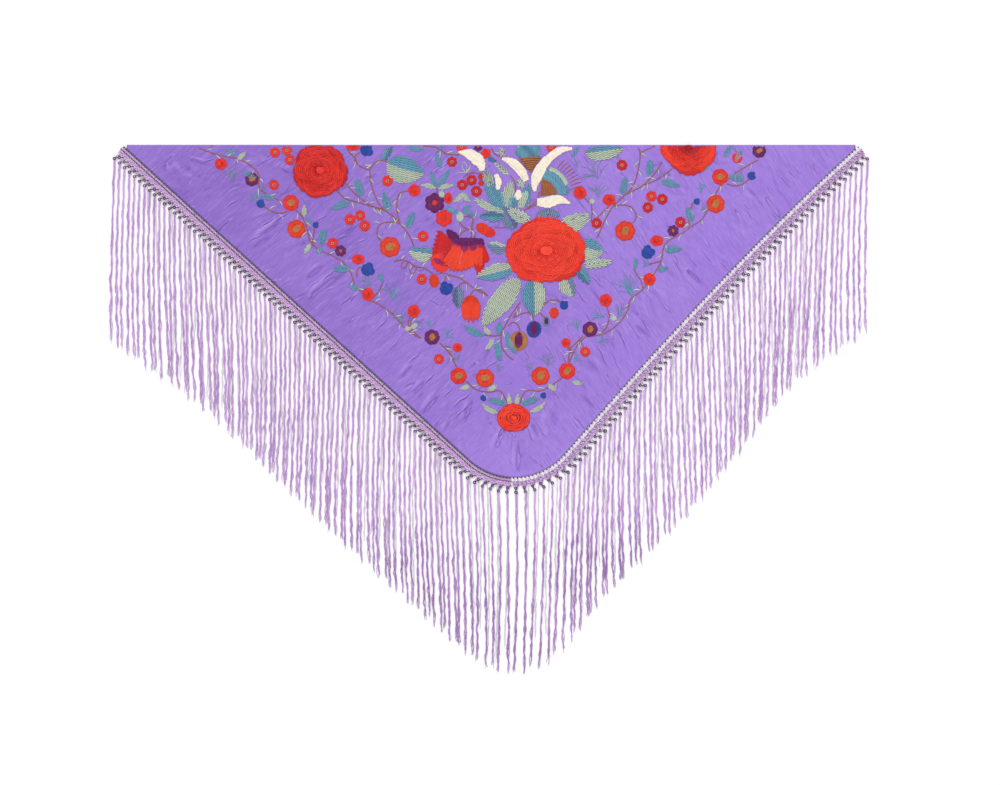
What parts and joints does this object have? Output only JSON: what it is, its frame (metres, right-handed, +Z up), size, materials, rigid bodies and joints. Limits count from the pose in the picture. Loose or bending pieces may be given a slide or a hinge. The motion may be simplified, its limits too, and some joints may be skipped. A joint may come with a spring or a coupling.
{
  "type": "flamenco shawl",
  "caption": "Lilac silk flamenco shawl, embroidered with flowers, folded on its diagonal and laid flat, with a knotted net and long fringe.",
  "frame": {"origin": "on the surface that the shawl lies on, under the middle of the whole shawl with its fringe", "axes": "+Z up off the surface, +Y towards the fold, +X along the fold to the right as the flowers are seen upright"},
  "size_m": [1.8988, 1.3202, 0.0051],
  "materials": {
    "silk": "soft silk crepe with a light sheen",
    "fringe": "twisted silk yarn"
  },
  "bodies": {
    "root": {"silk_ground": "silk", "fringe_front_left": "fringe", "fringe_front_right": "fringe", "fringe_under_left": "fringe", "fringe_under_right": "fringe"}
  },
  "joints": []
}
